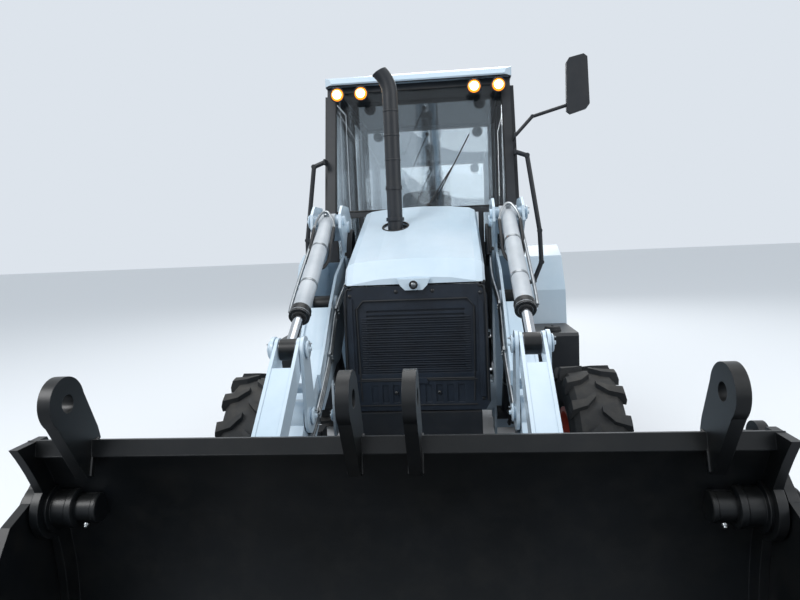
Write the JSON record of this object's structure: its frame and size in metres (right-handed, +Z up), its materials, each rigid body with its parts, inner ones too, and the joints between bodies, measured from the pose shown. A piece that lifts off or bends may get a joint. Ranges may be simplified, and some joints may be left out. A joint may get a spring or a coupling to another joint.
{
  "type": "backhoe loader",
  "caption": "Backhoe loader with a clam front bucket on a parallel tipping linkage, a glazed cab, steered front wheels, folding stabilizers and a swinging digger arm.",
  "frame": {"origin": "on the ground under the middle of the machine's length and width, with the bucket flat and the digger folded", "axes": "+Z up, -Y towards the front bucket, +X towards the machine's left"},
  "size_m": [2.41, 7.2462, 3.285],
  "materials": {
    "white_paint": "gloss",
    "black_paint": "satin",
    "charcoal_paint": "satin",
    "grey_paint": "satin",
    "grille_plastic": "matt",
    "lamp_plastic": "gloss",
    "cab_plastic": "matt",
    "seat_fabric": "matt",
    "cast_block": "matt",
    "cab_glass": "clear",
    "rod_chrome": "polished",
    "rim_orange": "gloss",
    "tyre_rubber": "matt"
  },
  "bodies": {
    "chassis": {"chassis_frame": "black_paint", "loader_towers": "white_paint", "engine_block": "cast_block", "front_axle": "black_paint", "rear_axle": "black_paint", "front_panels": "grille_plastic", "exhaust_stack": "black_paint", "cab_frame": "charcoal_paint", "cab_roof": "white_paint", "cab_glass": "cab_glass", "cab_interior": "cab_plastic", "steering_wheel": "cab_plastic", "operator_seat": "seat_fabric", "rear_fenders": "white_paint", "work_lamps": "lamp_plastic", "cab_rails": "black_paint"},
    "hood": {"hood": "white_paint"},
    "door_left": {"door_left": "charcoal_paint", "door_left_glass": "cab_glass"},
    "door_right": {"door_right": "charcoal_paint", "door_right_glass": "cab_glass"},
    "knuckle_left": {"knuckle_left": "black_paint"},
    "knuckle_right": {"knuckle_right": "black_paint"},
    "front_wheel_left": {"front_rim_left": "rim_orange", "front_tyre_left": "tyre_rubber"},
    "front_wheel_right": {"front_rim_right": "rim_orange", "front_tyre_right": "tyre_rubber"},
    "rear_wheel_left": {"rear_rim_left": "rim_orange", "rear_tyre_left": "tyre_rubber"},
    "rear_wheel_right": {"rear_rim_right": "rim_orange", "rear_tyre_right": "tyre_rubber"},
    "loader_arms": {"loader_arms": "white_paint"},
    "lift_barrels": {"lift_barrels": "black_paint"},
    "lift_rods": {"lift_rods": "rod_chrome"},
    "tipping_levers": {"tipping_levers": "white_paint"},
    "tipping_links": {"tipping_links": "white_paint"},
    "tilt_barrels": {"tilt_barrels": "grey_paint"},
    "tilt_rods": {"tilt_rods": "rod_chrome"},
    "bucket_back": {"bucket_back": "black_paint"},
    "bucket_clam": {"bucket_clam": "black_paint"},
    "clam_barrels": {"clam_barrels": "black_paint"},
    "clam_rods": {"clam_rods": "rod_chrome"},
    "swing_post": {"swing_post": "white_paint"},
    "boom": {"boom": "white_paint"},
    "boom_barrel": {"boom_barrel": "black_paint"},
    "boom_rod": {"boom_rod": "rod_chrome"},
    "dipper": {"dipper": "white_paint"},
    "dipper_barrel": {"dipper_barrel": "black_paint"},
    "dipper_rod": {"dipper_rod": "rod_chrome"},
    "hoe_bucket": {"hoe_bucket": "black_paint"},
    "hoe_barrel": {"hoe_barrel": "black_paint"},
    "hoe_rod": {"hoe_rod": "rod_chrome"},
    "hoe_idler": {"hoe_idler": "white_paint"},
    "hoe_link": {"hoe_link": "white_paint"},
    "stabilizer_left": {"stabilizer_left": "white_paint"},
    "stabilizer_right": {"stabilizer_right": "white_paint"},
    "stabilizer_barrel_left": {"stabilizer_barrel_left": "black_paint"},
    "stabilizer_barrel_right": {"stabilizer_barrel_right": "black_paint"},
    "stabilizer_rod_left": {"stabilizer_rod_left": "rod_chrome"},
    "stabilizer_rod_right": {"stabilizer_rod_right": "rod_chrome"}
  },
  "joints": [
    {"name": "hood_open", "type": "hinge", "parent": "chassis", "child": "hood", "pos_m": [0, -0.41509, 1.914], "axis": [1, 0, 0], "range_deg": [-18, 0]},
    {"name": "door_left_open", "type": "hinge", "parent": "chassis", "child": "door_left", "pos_m": [0.683, -0.27609, 1.5], "axis": [0, 0, -1], "range_deg": [0, 75]},
    {"name": "door_right_open", "type": "hinge", "parent": "chassis", "child": "door_right", "pos_m": [-0.683, -0.27609, 1.5], "axis": [0, 0, 1], "range_deg": [0, 75]},
    {"name": "steer_left", "type": "hinge", "parent": "chassis", "child": "knuckle_left", "pos_m": [0.735, -1.11809, 0.488], "axis": [0, 0, 1], "range_deg": [-36, 36]},
    {"name": "steer_right", "type": "hinge", "parent": "chassis", "child": "knuckle_right", "pos_m": [-0.735, -1.11809, 0.488], "axis": [0, 0, 1], "range_deg": [-36, 36]},
    {"name": "front_wheel_left_spin", "type": "hinge", "parent": "knuckle_left", "child": "front_wheel_left", "pos_m": [0.96, -1.11809, 0.488], "axis": [1, 0, 0], "continuous": true},
    {"name": "front_wheel_right_spin", "type": "hinge", "parent": "knuckle_right", "child": "front_wheel_right", "pos_m": [-0.96, -1.11809, 0.488], "axis": [1, 0, 0], "continuous": true},
    {"name": "rear_wheel_left_spin", "type": "hinge", "parent": "chassis", "child": "rear_wheel_left", "pos_m": [0.852, 1.05691, 0.67], "axis": [1, 0, 0], "continuous": true},
    {"name": "rear_wheel_right_spin", "type": "hinge", "parent": "chassis", "child": "rear_wheel_right", "pos_m": [-0.852, 1.05691, 0.67], "axis": [1, 0, 0], "continuous": true},
    {"name": "loader_lift", "type": "hinge", "parent": "chassis", "child": "loader_arms", "pos_m": [0, -0.68209, 1.852], "axis": [1, 0, 0], "range_deg": [-75, 0]},
    {"name": "lift_barrel_turn", "type": "hinge", "parent": "chassis", "child": "lift_barrels", "pos_m": [0, -0.49809, 0.54], "axis": [1, 0, 0], "range_deg": [-10, 0]},
    {"name": "lift_rod_slide", "type": "slide", "parent": "lift_barrels", "child": "lift_rods", "axis": [0, -0.5702, 0.8215], "range_m": [0, 0.7125]},
    {"name": "tilt_barrel_turn", "type": "hinge", "parent": "chassis", "child": "tilt_barrels", "pos_m": [0, -0.84809, 1.89], "axis": [1, 0, 0], "range_deg": [-85, 0]},
    {"name": "bucket_tilt", "type": "hinge", "parent": "loader_arms", "child": "bucket_back", "pos_m": [0, -2.61809, 0.29], "axis": [1, 0, 0], "range_deg": [-32, 80]},
    {"name": "lever_turn", "type": "hinge", "parent": "loader_arms", "child": "tipping_levers", "pos_m": [0, -1.83809, 0.93], "axis": [1, 0, 0], "range_deg": [-32, 80]},
    {"name": "link_turn", "type": "hinge", "parent": "tipping_levers", "child": "tipping_links", "pos_m": [0, -1.87809, 1.26], "axis": [1, 0, 0], "range_deg": [-80, 32]},
    {"name": "tilt_rod_slide", "type": "slide", "parent": "tilt_barrels", "child": "tilt_rods", "axis": [0, -0.8531, -0.5218], "range_m": [-0.1605, 0.4005]},
    {"name": "clam_open", "type": "hinge", "parent": "bucket_back", "child": "bucket_clam", "pos_m": [0, -2.81309, 0.92], "axis": [1, 0, 0], "range_deg": [-75, 0]},
    {"name": "clam_barrel_turn", "type": "hinge", "parent": "bucket_back", "child": "clam_barrels", "pos_m": [0, -2.60809, 0.43], "axis": [1, 0, 0], "range_deg": [-4.7, 0]},
    {"name": "clam_rod_slide", "type": "slide", "parent": "clam_barrels", "child": "clam_rods", "axis": [0, -0.1063, 0.9943], "range_m": [-0.2565, 0]},
    {"name": "swing", "type": "hinge", "parent": "chassis", "child": "swing_post", "pos_m": [0, 2.38191, 0.7], "axis": [0, 0, 1], "range_deg": [-90, 90]},
    {"name": "boom_lift", "type": "hinge", "parent": "swing_post", "child": "boom", "pos_m": [0, 2.59691, 0.7], "axis": [1, 0, 0], "range_deg": [-120, 0]},
    {"name": "boom_barrel_turn", "type": "hinge", "parent": "swing_post", "child": "boom_barrel", "pos_m": [0, 2.46691, 1.075], "axis": [1, 0, 0], "range_deg": [-128, 0]},
    {"name": "boom_rod_slide", "type": "slide", "parent": "boom_barrel", "child": "boom_rod", "axis": [0, -0.138, 0.9904], "range_m": [0, 0.6658]},
    {"name": "dipper_crowd", "type": "hinge", "parent": "boom", "child": "dipper", "pos_m": [0, 2.49691, 3.04], "axis": [1, 0, 0], "range_deg": [0, 112]},
    {"name": "dipper_barrel_turn", "type": "hinge", "parent": "boom", "child": "dipper_barrel", "pos_m": [0, 2.17191, 2.29], "axis": [1, 0, 0], "range_deg": [-5.4, 0]},
    {"name": "dipper_rod_slide", "type": "slide", "parent": "dipper_barrel", "child": "dipper_rod", "axis": [0, 0.2158, 0.9764], "range_m": [-0.3762, 0]},
    {"name": "hoe_curl", "type": "hinge", "parent": "dipper", "child": "hoe_bucket", "pos_m": [0, 3.35691, 1.56], "axis": [1, 0, 0], "range_deg": [0, 130]},
    {"name": "hoe_idler_turn", "type": "hinge", "parent": "dipper", "child": "hoe_idler", "pos_m": [0, 3.19112, 1.84533], "axis": [1, 0, 0], "range_deg": [0, 130]},
    {"name": "hoe_link_turn", "type": "hinge", "parent": "hoe_idler", "child": "hoe_link", "pos_m": [0, 3.41229, 1.69046], "axis": [1, 0, 0], "range_deg": [-130, 0]},
    {"name": "hoe_barrel_turn", "type": "hinge", "parent": "dipper", "child": "hoe_barrel", "pos_m": [0, 2.73492, 2.88916], "axis": [1, 0, 0], "range_deg": [-0.4, 0]},
    {"name": "hoe_rod_slide", "type": "slide", "parent": "hoe_barrel", "child": "hoe_rod", "axis": [0, 0.492, -0.8706], "range_m": [-0.4898, 0]},
    {"name": "stabilizer_left_lower", "type": "hinge", "parent": "chassis", "child": "stabilizer_left", "pos_m": [0.52, 1.98791, 0.65], "axis": [0, 1, 0], "range_deg": [0, 105]},
    {"name": "stabilizer_barrel_left_turn", "type": "hinge", "parent": "chassis", "child": "stabilizer_barrel_left", "pos_m": [0.13, 1.98791, 1.4], "axis": [0, 1, 0], "range_deg": [0, 8.6]},
    {"name": "stabilizer_rod_left_slide", "type": "slide", "parent": "stabilizer_barrel_left", "child": "stabilizer_rod_left", "axis": [0.6942, 0, -0.7198], "range_m": [0, 0.4258]},
    {"name": "stabilizer_right_lower", "type": "hinge", "parent": "chassis", "child": "stabilizer_right", "pos_m": [-0.52, 1.98791, 0.65], "axis": [0, -1, 0], "range_deg": [0, 105]},
    {"name": "stabilizer_barrel_right_turn", "type": "hinge", "parent": "chassis", "child": "stabilizer_barrel_right", "pos_m": [-0.13, 1.98791, 1.4], "axis": [0, -1, 0], "range_deg": [0, 8.6]},
    {"name": "stabilizer_rod_right_slide", "type": "slide", "parent": "stabilizer_barrel_right", "child": "stabilizer_rod_right", "axis": [-0.6942, 0, -0.7198], "range_m": [0, 0.4258]}
  ],
  "couplings": [
    {"joint": "steer_right", "follows": "steer_left", "ratio": 1},
    {"joint": "lift_barrel_turn", "follows": "loader_lift", "ratio": 0.13162},
    {"joint": "lift_rod_slide", "follows": "loader_lift", "m_per_rad": -0.54408},
    {"joint": "tilt_barrel_turn", "follows": "loader_lift", "ratio": 1.1317},
    {"joint": "lever_turn", "follows": "bucket_tilt", "ratio": 1},
    {"joint": "link_turn", "follows": "bucket_tilt", "ratio": -1},
    {"joint": "tilt_rod_slide", "follows": "bucket_tilt", "m_per_rad": 0.2865},
    {"joint": "clam_barrel_turn", "follows": "clam_open", "ratio": 0.06106},
    {"joint": "clam_rod_slide", "follows": "clam_open", "m_per_rad": 0.19579},
    {"joint": "boom_barrel_turn", "follows": "boom_lift", "ratio": 1.0632},
    {"joint": "boom_rod_slide", "follows": "boom_lift", "m_per_rad": -0.31771},
    {"joint": "dipper_barrel_turn", "follows": "dipper_crowd", "ratio": -0.04774},
    {"joint": "dipper_rod_slide", "follows": "dipper_crowd", "m_per_rad": -0.19228},
    {"joint": "hoe_idler_turn", "follows": "hoe_curl", "ratio": 1},
    {"joint": "hoe_link_turn", "follows": "hoe_curl", "ratio": -1},
    {"joint": "hoe_barrel_turn", "follows": "hoe_curl", "ratio": -0.00225},
    {"joint": "hoe_rod_slide", "follows": "hoe_curl", "m_per_rad": -0.21569},
    {"joint": "stabilizer_barrel_left_turn", "follows": "stabilizer_left_lower", "ratio": 0.08154},
    {"joint": "stabilizer_rod_left_slide", "follows": "stabilizer_left_lower", "m_per_rad": 0.23226},
    {"joint": "stabilizer_barrel_right_turn", "follows": "stabilizer_right_lower", "ratio": 0.08154},
    {"joint": "stabilizer_rod_right_slide", "follows": "stabilizer_right_lower", "m_per_rad": 0.23226}
  ]
}
